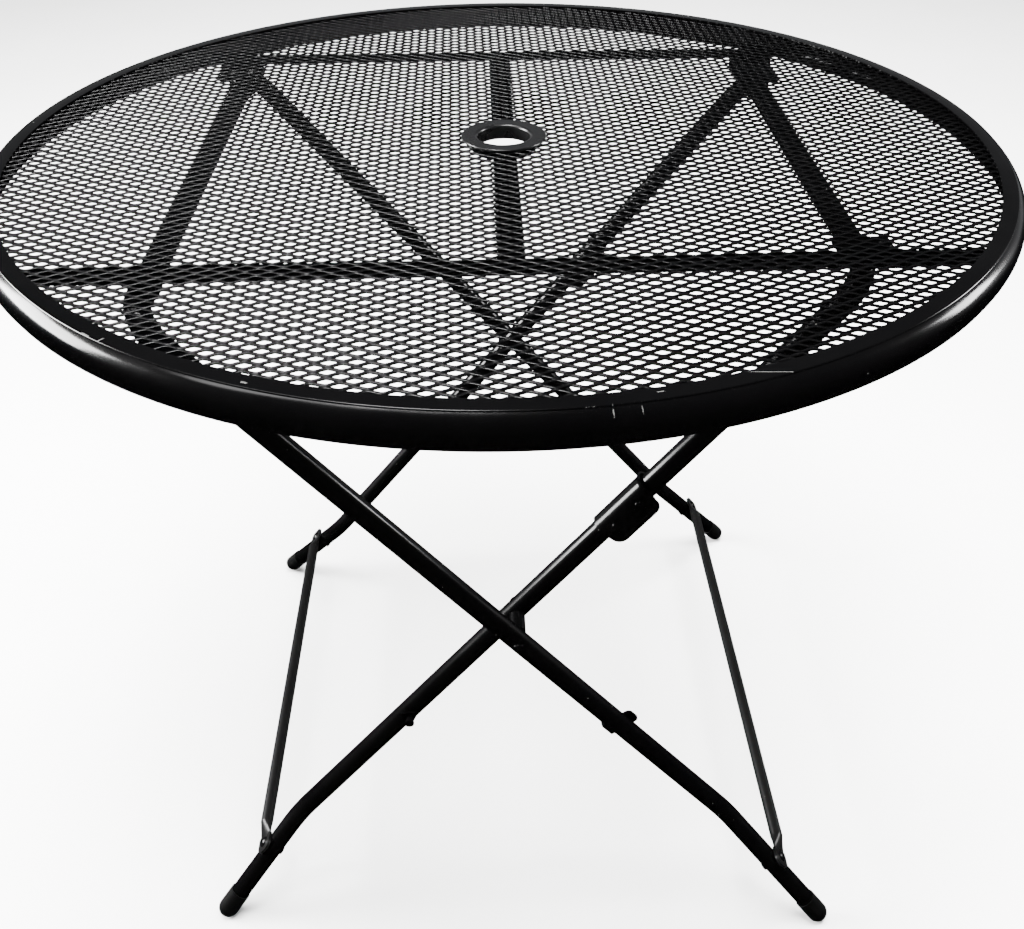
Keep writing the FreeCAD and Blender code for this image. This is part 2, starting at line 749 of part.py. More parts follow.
hook, hook_pin, hook_hole = catch_hook()
nodes["outer_frame"] = place_outer(outer_tube.cut(hook_hole))
nodes["catch_hook"] = place_outer(hook)
nodes["catch_hook_rivet"] = place_outer(hook_pin)


def catch_stud():
    """A tab with a level top edge and a headed stud, on the front inner leg."""
    face = inner_half_width + tube_radius
    x = catch_stud_at
    level = V(math.cos(leg_angle), 0, math.sin(leg_angle))
    down = V(math.sin(leg_angle), 0, -math.cos(leg_angle))
    middle = V(x, face, 0)
    left = middle - level * (catch_tab_width / 2) - down * (catch_tab_height / 2)
    right = middle + level * (catch_tab_width / 2) - down * (catch_tab_height / 2)
    point = middle + down * (catch_tab_height / 2)
    corners = [left, right, point + level * catch_tab_corner, point - level * catch_tab_corner]
    tab = prism(corners, (1.5, 1.5, 2, 2), V(0, catch_sheet, 0))
    seat = V(x, face + catch_sheet, 0)
    tip = seat + V(0, catch_stud_length, 0)
    stud = cylinder(catch_stud_radius, V(x, inner_half_width - tube_radius, 0), tip)
    stud = stud.fuse(cylinder(catch_stud_head_radius, tip - V(0, catch_stud_head_height, 0), tip))
    inner_seat = V(x, inner_half_width - tube_radius, 0)
    stud = stud.fuse(dome(catch_head_radius, catch_head_height, inner_seat, V(0, -1, 0)))
    hole = cylinder(catch_stud_radius, V(x, 0, 0), V(x, 2 * inner_half_width, 0))
    return tab.cut(hole), stud.removeSplitter(), hole


tab, stud, stud_hole = catch_stud()
nodes["inner_front_leg"] = place_inner(inner_legs["front"].cut(stud_hole))
nodes["inner_rear_leg"] = place_inner(inner_legs["rear"])
nodes["catch_tab"] = place_inner(tab)
nodes["catch_stud"] = place_inner(stud)


for name, shape in nodes.items():
    shape.exportStep("parts/" + name + ".step")
    print(name, len(shape.Solids), "solids", round(shape.Volume / 1000, 1), "cm3", shape.isValid())
print("leg angle", round(math.degrees(leg_angle), 3), "crossing height", round(crossing_z, 2))
print("bar to crossing", round(bar_from_crossing, 2), "crossing to foot", round(foot_from_crossing, 2))
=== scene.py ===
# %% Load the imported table
import json
import math

import bmesh
import bpy
from mathutils import Matrix, Vector


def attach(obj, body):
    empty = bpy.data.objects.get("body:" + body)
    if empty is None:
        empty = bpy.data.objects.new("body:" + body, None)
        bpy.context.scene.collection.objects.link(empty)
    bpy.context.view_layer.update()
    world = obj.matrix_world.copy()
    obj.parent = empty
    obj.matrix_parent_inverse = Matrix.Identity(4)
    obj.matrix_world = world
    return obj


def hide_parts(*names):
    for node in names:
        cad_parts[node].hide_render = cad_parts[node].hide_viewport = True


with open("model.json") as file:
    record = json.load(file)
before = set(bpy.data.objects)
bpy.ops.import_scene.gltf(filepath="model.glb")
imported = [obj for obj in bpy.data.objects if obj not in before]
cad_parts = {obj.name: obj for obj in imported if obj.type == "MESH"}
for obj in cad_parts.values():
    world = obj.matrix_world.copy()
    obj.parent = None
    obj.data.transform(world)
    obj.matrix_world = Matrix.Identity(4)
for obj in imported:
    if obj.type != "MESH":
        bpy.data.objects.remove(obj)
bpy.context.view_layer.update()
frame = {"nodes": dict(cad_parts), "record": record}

MM = 0.001

# %% [markdown]
# This lesson dresses a round folding patio table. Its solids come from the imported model. The
# rails, tubes, hinges, ring, caps and stretchers already have their shape, so they stay and get
# a finish here. A few pieces are made again: the mesh panel, whose solid is a plain stand-in for
# real expanded metal, the rim, which needs smoother faces, and the knuckles with their rivets and
# pivots, which are rounder on the real table. Everything is in metres, with the floor at zero.

# %% Small helpers for node trees
def add_node(tree, kind, **settings):
    """Add a node and set its properties."""
    node = tree.nodes.new(kind)
    for key, value in settings.items():
        setattr(node, key, value)
    return node


def feed(tree, socket, value):
    """Link a socket to another, or type a value into it."""
    if isinstance(value, bpy.types.NodeSocket):
        tree.links.new(value, socket)
    else:
        socket.default_value = value


def sums(tree, operation, *values):
    """One Math node, as a step of a sum."""
    node = add_node(tree, "ShaderNodeMath", operation=operation)
    for socket, value in zip(node.inputs, values):
        feed(tree, socket, value)
    return node.outputs[0]


def vector_sum(tree, operation, first, second=None):
    """One Vector Math node; hands back the output that its operation fills."""
    node = add_node(tree, "ShaderNodeVectorMath", operation=operation)
    feed(tree, node.inputs[0], first)
    if second is not None:
        feed(tree, node.inputs["Scale"] if operation == "SCALE" else node.inputs[1], second)
    return [s for s in node.outputs if s.enabled][0]


def named_inputs(tree, rows):
    """Declare a group's inputs: name, socket type and starting value."""
    for name, kind, value in rows:
        socket = tree.interface.new_socket(name, in_out="INPUT", socket_type=kind)
        if value is not None:
            socket.default_value = value


def named_outputs(tree, rows):
    """Declare a group's outputs: name and socket type."""
    for name, kind in rows:
        tree.interface.new_socket(name, in_out="OUTPUT", socket_type=kind)


# %% [markdown]
# The whole table wears one black powder coat. Powder melts into a skin that is glossy but not
# flat: it has a fine orange peel, and its gloss is a little uneven. Each material could hold its
# own noise nodes, but the same skin comes back in nine finishes. So it is a shader group with
# named inputs, built once. A group hands back only heights, masks and roughness, and each
# material keeps its own Principled shader.

# %% Coat skin: orange peel and a slightly uneven gloss
def noise(tree, position, scale, detail=2.0, rough=0.5):
    """A noise texture in three dimensions; hands back its grey value."""
    node = add_node(tree, "ShaderNodeTexNoise")
    feed(tree, node.inputs["Vector"], position)
    feed(tree, node.inputs["Scale"], scale)
    node.inputs["Detail"].default_value = detail
    node.inputs["Roughness"].default_value = rough
    return node.outputs["Fac"]


coat_skin = bpy.data.node_groups.new("coat_skin", "ShaderNodeTree")
named_inputs(coat_skin, [
    ("Position", "NodeSocketVector", None),
    ("Peel Scale", "NodeSocketFloat", 900.0),
    ("Cloud Scale", "NodeSocketFloat", 14.0),
    ("Roughness", "NodeSocketFloat", 0.2),
    ("Roughness Spread", "NodeSocketFloat", 0.08),
])
named_outputs(coat_skin, [("Height", "NodeSocketFloat"), ("Roughness", "NodeSocketFloat"),
                          ("Clouds", "NodeSocketFloat")])
skin_in = add_node(coat_skin, "NodeGroupInput").outputs
skin_out = add_node(coat_skin, "NodeGroupOutput").inputs
peel = noise(coat_skin, skin_in["Position"], skin_in["Peel Scale"], detail=1.0)
clouds = noise(coat_skin, skin_in["Position"], skin_in["Cloud Scale"], detail=4.0, rough=0.6)

# Clouds run from 0 to 1, so twice their distance from a half runs from -1 to 1
uneven = sums(coat_skin, "MULTIPLY", sums(coat_skin, "SUBTRACT", clouds, 0.5),
              skin_in["Roughness Spread"])
feed(coat_skin, skin_out["Height"], peel)
feed(coat_skin, skin_out["Clouds"], clouds)
feed(coat_skin, skin_out["Roughness"],
     sums(coat_skin, "MULTIPLY_ADD", uneven, 2.0, skin_in["Roughness"]))
print("coat_skin:", len(coat_skin.nodes), "nodes")

# %% [markdown]
# Pale grit lies on the coat of a table that is used outdoors. It could be scattered as small
# meshes, but specks of half a millimetre have no height that shows. So they are a mask: Voronoi
# cells hold one speck each, and each cell's random colour settles whether its speck is there and
# how large it is.

# %% Dust: pale specks on the coat
dust = bpy.data.node_groups.new("dust_specks", "ShaderNodeTree")
named_inputs(dust, [
    ("Position", "NodeSocketVector", None),
    ("Speck Scale", "NodeSocketFloat", 260.0),
    ("Speck Size", "NodeSocketFloat", 0.16),
    ("Amount", "NodeSocketFloat", 0.3),
])
named_outputs(dust, [("Mask", "NodeSocketFloat")])
dust_in = add_node(dust, "NodeGroupInput").outputs
dust_out = add_node(dust, "NodeGroupOutput").inputs
cells = add_node(dust, "ShaderNodeTexVoronoi")
feed(dust, cells.inputs["Vector"], dust_in["Position"])
feed(dust, cells.inputs["Scale"], dust_in["Speck Scale"])
lottery = add_node(dust, "ShaderNodeSeparateColor")
feed(dust, lottery.inputs["Color"], cells.outputs["Color"])
inside = sums(dust, "LESS_THAN", cells.outputs["Distance"],
              sums(dust, "MULTIPLY", dust_in["Speck Size"], lottery.outputs["Green"]))
chosen = sums(dust, "LESS_THAN", lottery.outputs["Red"], dust_in["Amount"])
feed(dust, dust_out["Mask"], sums(dust, "MULTIPLY", inside, chosen))
print("dust_specks:", len(dust.nodes), "nodes")

# %% [markdown]
# Knocks leave scratches and chips near the rim's crease, 4 to 30 millimetres long and about
# one wide. Random wear along every edge would look nothing like them. So a group draws one
# stroke at a given place: a point is in the stroke where it is near enough along its line and
# beside it, and noise frays both limits.

# %% A scratch or a chip: a short stroke on the coat with a ragged edge
ragged_scale = 1600.0
scratch = bpy.data.node_groups.new("scratch", "ShaderNodeTree")
named_inputs(scratch, [
    ("Position", "NodeSocketVector", None),
    ("Centre", "NodeSocketVector", None),
    ("Along", "NodeSocketVector", None),
    ("Length", "NodeSocketFloat", 6.0 * MM),
    ("Width", "NodeSocketFloat", 1.0 * MM),
])
named_outputs(scratch, [("Mask", "NodeSocketFloat")])
scratch_in = add_node(scratch, "NodeGroupInput").outputs
scratch_out = add_node(scratch, "NodeGroupOutput").inputs
offset = vector_sum(scratch, "SUBTRACT", scratch_in["Position"], scratch_in["Centre"])
run = vector_sum(scratch, "DOT_PRODUCT", offset, scratch_in["Along"])
aside = vector_sum(scratch, "SUBTRACT", offset,
                   vector_sum(scratch, "SCALE", scratch_in["Along"], run))
ragged = noise(scratch, scratch_in["Position"], ragged_scale)
near = sums(scratch, "LESS_THAN", sums(scratch, "ABSOLUTE", run),
            sums(scratch, "MULTIPLY", scratch_in["Length"], ragged))
beside = sums(scratch, "LESS_THAN", vector_sum(scratch, "LENGTH", aside),
              sums(scratch, "MULTIPLY", scratch_in["Width"], ragged))
feed(scratch, scratch_out["Mask"], sums(scratch, "MULTIPLY", near, beside))
print("scratch:", len(scratch.nodes), "nodes")

# %% [markdown]
# Every finish is the same recipe with other values: a dark base, the coat skin for bump and
# gloss, then scratches and dust mixed over it as paler and rougher patches. Nine materials could
# be wired one by one. A function that takes the values keeps the recipe in one place, so a
# change to it reaches all of them.

# %% A finish from its values
dust_colour = (0.05, 0.05, 0.047, 1.0)
bare_colour = (0.035, 0.035, 0.034, 1.0)
bare_roughness = 0.3
bump_strength = 0.25


def place_group(tree, group, position, **values):
    """Put a shader group in a material and set its inputs."""
    node = add_node(tree, "ShaderNodeGroup", node_tree=group)
    feed(tree, node.inputs["Position"], position)
    for name, value in values.items():
        feed(tree, node.inputs[name.replace("_", " ").title()], value)
    return node.outputs


def mix_colour(tree, mask, under, over):
    """One colour over another, where the mask is white."""
    node = add_node(tree, "ShaderNodeMix", data_type="RGBA")
    for name, value in (("Factor", mask), ("A", under), ("B", over)):
        feed(tree, [s for s in node.inputs if s.name == name and s.enabled][0], value)
    return [s for s in node.outputs if s.enabled][0]


def coated(name, base, lift, roughness, peel_depth, dust_amount, strokes=(),
           spread=0.08, peel_scale=900.0, ior=1.25):
    """A black coat; lift is how much paler its clouds are, strokes are its scratches."""
    material = bpy.data.materials.new(name)
    material.use_nodes = True
    tree = material.node_tree
    shader = tree.nodes["Principled BSDF"]
    place = add_node(tree, "ShaderNodeTexCoord").outputs["Object"]
    skin = place_group(tree, coat_skin, place, roughness=roughness, roughness_spread=spread,
                       peel_scale=peel_scale)
    specks = place_group(tree, dust, place, amount=dust_amount)
    bare = 0.0
    for centre, along, length, width in strokes:
        stroke = place_group(tree, scratch, place, centre=centre, along=along, length=length,
                             width=width)
        bare = sums(tree, "MAXIMUM", stroke["Mask"], bare)
    pale = tuple(c + lift for c in base[:3]) + (1.0,)
    colour = mix_colour(tree, skin["Clouds"], base, pale)
    colour = mix_colour(tree, bare, colour, bare_colour)
    colour = mix_colour(tree, specks["Mask"], colour, dust_colour)
    feed(tree, shader.inputs["Base Color"], colour)
    matt = sums(tree, "MULTIPLY_ADD", bare, bare_roughness, specks["Mask"])
    feed(tree, shader.inputs["Roughness"],
         sums(tree, "MINIMUM", sums(tree, "ADD", skin["Roughness"], matt), 1.0))
    bump = add_node(tree, "ShaderNodeBump")
    bump.inputs["Strength"].default_value = bump_strength
    bump.inputs["Distance"].default_value = peel_depth
    feed(tree, bump.inputs["Height"], skin["Height"])
    feed(tree, shader.inputs["Normal"], bump.outputs["Normal"])
    shader.inputs["IOR"].default_value = ior
    return material


# %% The knocks on the rim
slant_share = 0.45


def rim_stroke(azimuth, radius, height, way, length, width):
    """A stroke on the rim, that runs round it, inward, down it or at a slant."""
    turn = math.radians(azimuth)
    out = Vector((math.cos(turn), math.sin(turn), 0.0))
    round_it = Vector((-out.y, out.x, 0.0))
    ways = {"round": round_it, "in": out, "down": out - Vector((0.0, 0.0, 1.0)),
            "slant": round_it + slant_share * out}
    centre = out * radius * MM + Vector((0.0, 0.0, height * MM))
    return centre, ways[way].normalized(), length * MM, width * MM


# Azimuth in degrees, radius and height in millimetres, way, length and width in millimetres
rim_strokes = [
    rim_stroke(230.6, 426.5, 737.0, "round", 7.0, 1.4),
    rim_stroke(232.4, 425.0, 737.0, "in", 5.0, 1.0),
    rim_stroke(247.4, 422.5, 737.0, "round", 4.0, 1.6),
    rim_stroke(275.2, 427.2, 737.0, "round", 5.0, 0.9),
    rim_stroke(277.0, 429.1, 735.0, "down", 8.0, 0.9),
    rim_stroke(279.3, 430.0, 734.2, "down", 9.0, 0.9),
    rim_stroke(281.2, 419.5, 737.0, "round", 4.0, 0.8),
    rim_stroke(291.3, 422.5, 737.0, "slant", 28.0, 0.5),
    rim_stroke(323.5, 427.4, 737.0, "round", 26.0, 0.9),
    rim_stroke(329.5, 427.3, 737.0, "round", 30.0, 0.9),
]
print("rim strokes:", len(rim_strokes))

# %% [markdown]
# The same powder looks different on each piece. It lies glossiest on the smooth rim and the
# tubes, a little duller on the strands, flat bars and pressed brackets. The stretchers are the
# most worn, and the ring and the foot caps are plastic. The values are very low, because a black
# coat in a pale room gets nearly all its light from mirror images.

# %% The table's nine finishes
coat_black = (0.0004, 0.0004, 0.00045, 1.0)
worn_black = (0.0015, 0.0015, 0.0015, 1.0)
ring_black = (0.0015, 0.0015, 0.0016, 1.0)
cap_black = (0.0008, 0.0008, 0.0008, 1.0)
finishes = {
    "rim_coat": coated("gloss_rim_coat", coat_black, lift=0.0004, roughness=0.16,
                       peel_depth=0.06 * MM, dust_amount=0.02, strokes=rim_strokes),
    "mesh_coat": coated("mesh_coat", coat_black, lift=0.0003, roughness=0.22,
                        peel_depth=0.05 * MM, dust_amount=0.03, peel_scale=1500.0),
    "rail_coat": coated("rail_coat", coat_black, lift=0.0005, roughness=0.30,
                        peel_depth=0.05 * MM, dust_amount=0.03),
    "tube_coat": coated("gloss_tube_coat", coat_black, lift=0.0004, roughness=0.20,
                        peel_depth=0.05 * MM, dust_amount=0.02),
    "bracket_coat": coated("bracket_coat", coat_black, lift=0.0006, roughness=0.24,
                           peel_depth=0.06 * MM, dust_amount=0.03),
    "stretcher_coat": coated("stretcher_coat", worn_black, lift=0.0015, roughness=0.34,
                             peel_depth=0.05 * MM, dust_amount=0.03),
    "fastener_coat": coated("fastener_coat", coat_black, lift=0.0005, roughness=0.22,
                            peel_depth=0.04 * MM, dust_amount=0.02),
    "ring_plastic": coated("ring_plastic", ring_black, lift=0.001, roughness=0.28,
                           peel_depth=0.08 * MM, dust_amount=0.02, peel_scale=1400.0, ior=1.4),
    "cap_plastic": coated("cap_plastic", cap_black, lift=0.0006, roughness=0.36,
                          peel_depth=0.10 * MM, dust_amount=0.02, peel_scale=1100.0),
}
slot_of = {row["node"]: row["material_slot"] for row in frame["record"]["subparts"]}
for name, node in frame["nodes"].items():
    node.data.materials.clear()
    node.data.materials.append(finishes[slot_of[name]])
print("finishes:", ", ".join(finishes))

# %% [markdown]
# Expanded metal is a steel sheet that is slit in rows and pulled open. No metal is lost: each
# row of slits leaves a strand that swings to and fro, and neighbouring strands stay joined in
# bonds. It could be an image on a flat disc, but then the floor would not show through and the
# strands would have no thickness. So Geometry Nodes make every strand: a grid of points, one
# row for each strand, is swung to and fro, cut to the round, turned into curves and given a
# strand's section, tilted as the press leaves it.

# %% The sizes of the mesh
mesh_sizes = {
    "Opening Pitch": 17.05 * MM,
    "Row Pitch": 5.33 * MM,
    "Strand Width": 2.85 * MM,
    "Strand Thickness": 1.35 * MM,
    "Tilt": math.radians(10.5),
    "Outer Radius": 423.4 * MM,
    "Hole Radius": 29.2 * MM,
    "Middle Height": 734.25 * MM,
}
steps_per_swing = 5
mesh_turn = math.radians(0.65)

# %% The tree for the strands, and a grid with one row of points for each
strands = bpy.data.node_groups.new("expanded_metal", "GeometryNodeTree")
named_inputs(strands, [("Geometry", "NodeSocketGeometry", None)]
             + [(name, "NodeSocketFloat", value) for name, value in mesh_sizes.items()]
             + [("Columns", "NodeSocketInt", 3), ("Rows", "NodeSocketInt", 2),
                ("First Row", "NodeSocketInt", 0), ("Steps Per Swing", "NodeSocketInt", 3),
                ("Turn", "NodeSocketFloat", 0.0), ("Coat", "NodeSocketMaterial", None)])
named_outputs(strands, [("Geometry", "NodeSocketGeometry")])
given = add_node(strands, "NodeGroupInput").outputs
result = add_node(strands, "NodeGroupOutput").inputs


def do(operation, *values):
    """A step of a sum in the strands' tree."""
    return sums(strands, operation, *values)


def then(kind, socket, source, **settings):
    """The next node of the strands' tree, fed by the one before it."""
    node = add_node(strands, kind, **settings)
    feed(strands, node.inputs[socket], source)
    return node


step = do("DIVIDE", given["Opening Pitch"], do("MULTIPLY", given["Steps Per Swing"], 2.0))
grid = add_node(strands, "GeometryNodeMeshGrid")
feed(strands, grid.inputs["Size X"],
     do("MULTIPLY", do("SUBTRACT", given["Columns"], 1.0), step))
feed(strands, grid.inputs["Size Y"],
     do("MULTIPLY", do("SUBTRACT", given["Rows"], 1.0), given["Row Pitch"]))
feed(strands, grid.inputs["Vertices X"], given["Columns"])
feed(strands, grid.inputs["Vertices Y"], given["Rows"])

# Keep only the edges that run along the rows
ends = add_node(strands, "GeometryNodeInputMeshEdgeVertices").outputs
rise = vector_sum(strands, "SUBTRACT", ends["Position 1"], ends["Position 2"])
rise_parts = then("ShaderNodeSeparateXYZ", 0, rise).outputs
crosses = do("GREATER_THAN", do("ABSOLUTE", rise_parts["Y"]),
             do("MULTIPLY", given["Row Pitch"], 0.5))
rows_only = then("GeometryNodeDeleteGeometry", "Geometry", grid.outputs["Mesh"],
                 domain="EDGE", mode="EDGE_FACE")
feed(strands, rows_only.inputs["Selection"], crosses)

# %% [markdown]
# Every second strand starts half an opening later, so that a strand's crest meets the next one's
# trough in a bond. The real strand is pointed at its rear bonds and rounded at its front ones,
# as the press pulls it. So the swing goes from a straight line to a cosine over its length. The
# press also tilts each strand, with its front edge raised. So a strand rises where it swings
# rearward, and its low rear edge meets the raised front edge of the next one.

# %% Swing the rows to and fro, and up and down with it
def position():
    """Where each point of the strands is."""
    return add_node(strands, "GeometryNodeInputPosition").outputs[0]


place = then("ShaderNodeSeparateXYZ", 0, position()).outputs
column = do("ROUND", do("DIVIDE", place["X"], step))
half_rows = do("DIVIDE", do("SUBTRACT", given["Rows"], 1.0), 2.0)
row_in_band = do("ROUND", do("ADD", do("DIVIDE", place["Y"], given["Row Pitch"]), half_rows))
row = do("ADD", row_in_band, given["First Row"])
half_swing = do("MULTIPLY", do("FLOORED_MODULO", row, 2.0), given["Steps Per Swing"])
phase = do("PINGPONG",
           do("DIVIDE", do("ADD", column, half_swing), given["Steps Per Swing"]), 1.0)
curved = do("COSINE", do("MULTIPLY", phase, math.pi))
straight = do("SUBTRACT", 1.0, do("MULTIPLY", phase, 2.0))
swing = do("MULTIPLY_ADD", do("SUBTRACT", curved, straight), phase, straight)
flat_width = do("MULTIPLY", given["Strand Width"], do("COSINE", given["Tilt"]))
reach = do("MULTIPLY", do("SUBTRACT", given["Row Pitch"], flat_width), 0.5)
lift = do("MULTIPLY", do("MULTIPLY", given["Strand Width"], do("SINE", given["Tilt"])), 0.5)
moved = add_node(strands, "ShaderNodeCombineXYZ")
feed(strands, moved.inputs["X"], do("MULTIPLY", column, step))
feed(strands, moved.inputs["Y"],
     do("MULTIPLY_ADD", swing, reach, do("MULTIPLY", row, given["Row Pitch"])))
feed(strands, moved.inputs["Z"], do("MULTIPLY_ADD", swing, lift, given["Middle Height"]))
swung = then("GeometryNodeSetPosition", "Geometry", rows_only.outputs[0])
feed(strands, swung.inputs["Position"], moved.outputs[0])

# %% Cut to the round, with the umbrella hole left open
flat_place = vector_sum(strands, "MULTIPLY", position(), (1.0, 1.0, 0.0))
radius = vector_sum(strands, "LENGTH", flat_place)
outside = do("MAXIMUM", do("GREATER_THAN", radius, given["Outer Radius"]),
             do("LESS_THAN", radius, given["Hole Radius"]))
cut_round = then("GeometryNodeDeleteGeometry", "Geometry", swung.outputs[0],
                 domain="POINT", mode="ALL")
feed(strands, cut_round.inputs["Selection"], outside)

# %% Rows become curves that all run the same way, and get the strand's section
lines = then("GeometryNodeMeshToCurve", "Mesh", cut_round.outputs[0])
heading = then("ShaderNodeSeparateXYZ", 0,
               add_node(strands, "GeometryNodeInputTangent").outputs[0]).outputs
same_way = then("GeometryNodeReverseCurve", "Curve", lines.outputs[0])
feed(strands, same_way.inputs["Selection"], do("LESS_THAN", heading["X"], 0.0))
upright = then("GeometryNodeSetCurveNormal", "Curve", same_way.outputs[0], mode="Z_UP")

# The press leaves the front edge of each strand raised
tilted = then("GeometryNodeSetCurveTilt", "Curve", upright.outputs[0])
feed(strands, tilted.inputs["Tilt"], do("MULTIPLY", given["Tilt"], -1.0))
strand_section = then("GeometryNodeCurvePrimitiveQuadrilateral", "Width", given["Strand Width"])
feed(strands, strand_section.inputs["Height"], given["Strand Thickness"])
solid = then("GeometryNodeCurveToMesh", "Curve", tilted.outputs[0])
feed(strands, solid.inputs["Profile Curve"], strand_section.outputs[0])
solid.inputs["Fill Caps"].default_value = True

# %% Turn the panel a little, make it real and coat it
rounded = then("GeometryNodeSetShadeSmooth", "Geometry", solid.outputs[0])
turn = then("ShaderNodeCombineXYZ", "Z", given["Turn"])
rotated = then("GeometryNodeTransform", "Geometry", rounded.outputs[0])
feed(strands, rotated.inputs["Rotation"], turn.outputs[0])
real = then("GeometryNodeRealizeInstances", "Geometry", rotated.outputs[0])
coat = then("GeometryNodeSetMaterial", "Geometry", real.outputs[0])
feed(strands, coat.inputs["Material"], given["Coat"])
feed(strands, result["Geometry"], coat.outputs[0])
print("expanded_metal tree:", len(strands.nodes), "nodes")

# %% [markdown]
# The panel has about 160 strands. One mesh of them all would be heavy, so it is made in bands
# from front to rear. The modifier is only a machine here: its evaluated result is copied into
# a plain mesh, and the machine is thrown away.

# %% Run the tree for each band
def make_piece(name, tree, values):
    """Run a tree once and keep its result as a plain mesh object."""
    machine = bpy.data.objects.new(name + "_machine", bpy.data.meshes.new(name + "_empty"))
    bpy.context.scene.collection.objects.link(machine)
    modifier = machine.modifiers.new("nodes", "NODES")
    modifier.node_group = tree
    for item in tree.interface.items_tree:
        if item.item_type == "SOCKET" and item.in_out == "INPUT" and item.name in values:
            modifier[item.identifier] = values[item.name]
    ready = machine.evaluated_get(bpy.context.evaluated_depsgraph_get())
    mesh = bpy.data.meshes.new_from_object(ready)
    bpy.data.objects.remove(machine)
    piece = bpy.data.objects.new(name, mesh)
    bpy.context.scene.collection.objects.link(piece)
    triangles = sum(len(face.vertices) - 2 for face in mesh.polygons)
    print(name, triangles, "triangles")
    return piece


# Rows and columns are counted from the middle, with a few to spare past the rim
spare_rows, spare_columns = 2, 4
last_row = int(mesh_sizes["Outer Radius"] / mesh_sizes["Row Pitch"]) + spare_rows
openings = mesh_sizes["Outer Radius"] / mesh_sizes["Opening Pitch"]
half_columns = int(openings * 2 * steps_per_swing) + spare_columns
middle_rows = 34
bands = {"front": (-last_row, -middle_rows), "front_middle": (-middle_rows, 0),
         "rear_middle": (0, middle_rows), "rear": (middle_rows, last_row + 1)}
for band, (first, last) in bands.items():
    values = dict(mesh_sizes)
    values.update({"Columns": 2 * half_columns + 1, "Rows": last - first, "First Row": first,
                   "Steps Per Swing": steps_per_swing, "Turn": mesh_turn,
                   "Coat": finishes["mesh_coat"]})
    piece = make_piece("expanded_mesh_" + band, strands, values)
    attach(piece, "tabletop")
    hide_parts("mesh_panel")

# %% [markdown]
# The rim is the glossiest piece: one sheet of steel, rolled into a ring with a flat ledge, a
# crease, a convex band and a hem. Long highlights lie along its band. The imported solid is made
# of flat facets, which break such a highlight into teeth. A subdivided copy would soften the
# crease. So the same section is turned again here, with many more steps.

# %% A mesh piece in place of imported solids
weld_distance = 1e-6
sharp_from = math.radians(35)


def mesh_piece(name, points, faces, body, slot, *nodes):
    """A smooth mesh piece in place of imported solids, with its faces outward."""
    mesh = bpy.data.meshes.new(name)
    mesh.from_pydata(points, [], faces)
    shell = bmesh.new()
    shell.from_mesh(mesh)
    bmesh.ops.remove_doubles(shell, verts=shell.verts, dist=weld_distance)
    bmesh.ops.recalc_face_normals(shell, faces=shell.faces)
    shell.to_mesh(mesh)
    shell.free()
    mesh.shade_smooth()
    mesh.set_sharp_from_angle(angle=sharp_from)
    mesh.materials.append(finishes[slot])
    piece = bpy.data.objects.new(name, mesh)
    bpy.context.scene.collection.objects.link(piece)
    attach(piece, body)
    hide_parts(*nodes)
    return piece


# %% The rim's section, in millimetres from the table's axis
top_height, ledge_inner, crease = 737.0, 414.5, 427.2
sheet, crease_round, bulge, belly_drop = 1.5, 1.2, 434.97, 13.5
rim_bottom, hem_radius, hem_round, hem_in = 710.0, 431.8, 2.6, 425.3
bend_steps, band_steps, inner_steps = 6, 24, 16


def circle_through(a, b, c):
    """Middle and radius of the circle through three points of the section."""
    spread = 2 * (a[0] * (b[1] - c[1]) + b[0] * (c[1] - a[1]) + c[0] * (a[1] - b[1]))
    aa, bb, cc = (p[0] ** 2 + p[1] ** 2 for p in (a, b, c))
    x = (aa * (b[1] - c[1]) + bb * (c[1] - a[1]) + cc * (a[1] - b[1])) / spread
    z = (aa * (c[0] - b[0]) + bb * (a[0] - c[0]) + cc * (b[0] - a[0])) / spread
    return (x, z), math.hypot(a[0] - x, a[1] - z)


def arc_points(middle, radius, start, end, steps):
    """Points on an arc from one angle to another, both ends included."""
    return [(middle[0] + radius * math.cos(start + (end - start) * k / steps),
             middle[1] + radius * math.sin(start + (end - start) * k / steps))
            for k in range(steps + 1)]


band_top = (crease, top_height - crease_round)
band_end = (hem_radius, rim_bottom + hem_round)
band_middle, band_radius = circle_through(band_top, (bulge, top_height - belly_drop), band_end)
top_angle = math.atan2(band_top[1] - band_middle[1], band_top[0] - band_middle[0])
end_angle = math.atan2(band_end[1] - band_middle[1], band_end[0] - band_middle[0])
under = top_height - sheet
inner_radius = band_radius - sheet
under_angle = math.asin((under - band_middle[1]) / inner_radius)
rim_section = [(ledge_inner, top_height)]
rim_section += arc_points((crease - crease_round, top_height - crease_round), crease_round,
                          math.pi / 2, 0.0, bend_steps)
rim_section += arc_points(band_middle, band_radius, top_angle, end_angle, band_steps)[1:]
rim_section += arc_points((hem_radius - hem_round, rim_bottom + hem_round), hem_round,
                          0.0, -math.pi / 2, bend_steps)[1:]
rim_section += [(hem_in, rim_bottom), (hem_in, rim_bottom + sheet)]
inner_band = arc_points(band_middle, inner_radius, end_angle, under_angle, inner_steps)
rim_section += [(inner_band[0][0] - (hem_round - sheet), rim_bottom + sheet)] + inner_band
rim_section += [(ledge_inner, under)]
print("rim section:", len(rim_section), "points, band radius", round(band_radius, 2), "mm")

# %% The rim, turned from its section
rim_segments = 360
points = []
for k in range(rim_segments):
    angle = 2 * math.pi * k / rim_segments
    points += [(r * MM * math.cos(angle), r * MM * math.sin(angle), z * MM)
               for r, z in rim_section]
count = len(rim_section)
faces = []
for k in range(rim_segments):
    here, beyond = k * count, (k + 1) % rim_segments * count
    for j in range(count):
        after = (j + 1) % count
        faces.append((here + j, here + after, beyond + after, beyond + j))
mesh_piece("rolled_rim", points, faces, "tabletop", "rim_coat", "rim")
print("rim:", rim_segments, "segments,", len(faces), "faces")

